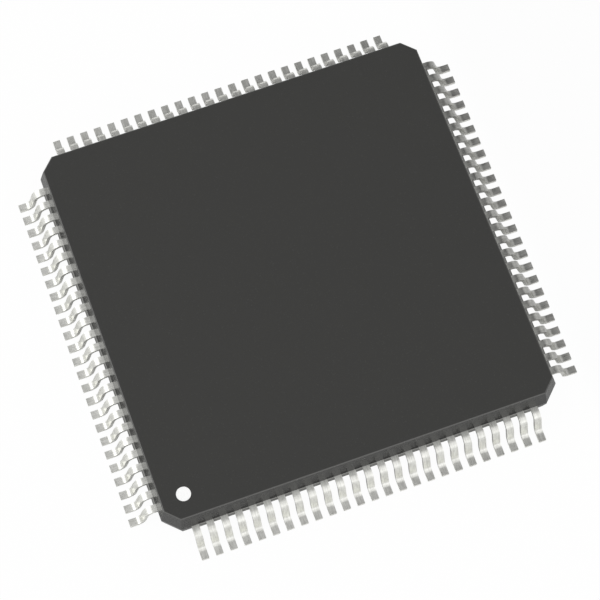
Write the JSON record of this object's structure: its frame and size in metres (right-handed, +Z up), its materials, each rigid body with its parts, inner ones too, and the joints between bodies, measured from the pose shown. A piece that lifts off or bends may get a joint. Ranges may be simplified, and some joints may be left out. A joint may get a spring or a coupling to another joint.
{
  "type": "integrated circuit",
  "caption": "Square quad flat package with gull-wing leads on all four sides, cut corners and a round pin 1 mark, for soldering flat onto a board.",
  "frame": {"origin": "centre of the package on the seating plane, the plane that the feet stand on", "axes": "+Z up through the top of the package, -Y towards the side with pins 1 to 25, -X towards the side with pins 76 to 100; pin 1 is at the -X, -Y corner"},
  "size_m": [0.016, 0.016, 0.0016],
  "materials": {
    "mould_compound": "matte moulded epoxy, slightly glossy on the drafted sides",
    "marking_ink": "flat white ink",
    "tin_plate": "satin matte tin over copper alloy",
    "leadframe_copper": "bare rolled copper alloy",
    "die_adhesive": "silver-filled epoxy",
    "silicon": "polished silicon",
    "gold_wire": "drawn gold"
  },
  "bodies": {
    "root": {"body": "mould_compound", "pin_one_mark": "marking_ink", "die_pad": "leadframe_copper", "die_adhesive": "die_adhesive", "die": "silicon", "leads_001_005": "tin_plate", "leads_006_010": "tin_plate", "leads_011_015": "tin_plate", "leads_016_020": "tin_plate", "leads_021_025": "tin_plate", "leads_026_030": "tin_plate", "leads_031_035": "tin_plate", "leads_036_040": "tin_plate", "leads_041_045": "tin_plate", "leads_046_050": "tin_plate", "leads_051_055": "tin_plate", "leads_056_060": "tin_plate", "leads_061_065": "tin_plate", "leads_066_070": "tin_plate", "leads_071_075": "tin_plate", "leads_076_080": "tin_plate", "leads_081_085": "tin_plate", "leads_086_090": "tin_plate", "leads_091_095": "tin_plate", "leads_096_100": "tin_plate", "bond_wires_001_005": "gold_wire", "bond_wires_006_010": "gold_wire", "bond_wires_011_015": "gold_wire", "bond_wires_016_020": "gold_wire", "bond_wires_021_025": "gold_wire", "bond_wires_026_030": "gold_wire", "bond_wires_031_035": "gold_wire", "bond_wires_036_040": "gold_wire", "bond_wires_041_045": "gold_wire", "bond_wires_046_050": "gold_wire", "bond_wires_051_055": "gold_wire", "bond_wires_056_060": "gold_wire", "bond_wires_061_065": "gold_wire", "bond_wires_066_070": "gold_wire", "bond_wires_071_075": "gold_wire", "bond_wires_076_080": "gold_wire", "bond_wires_081_085": "gold_wire", "bond_wires_086_090": "gold_wire", "bond_wires_091_095": "gold_wire", "bond_wires_096_100": "gold_wire"}
  },
  "joints": []
}
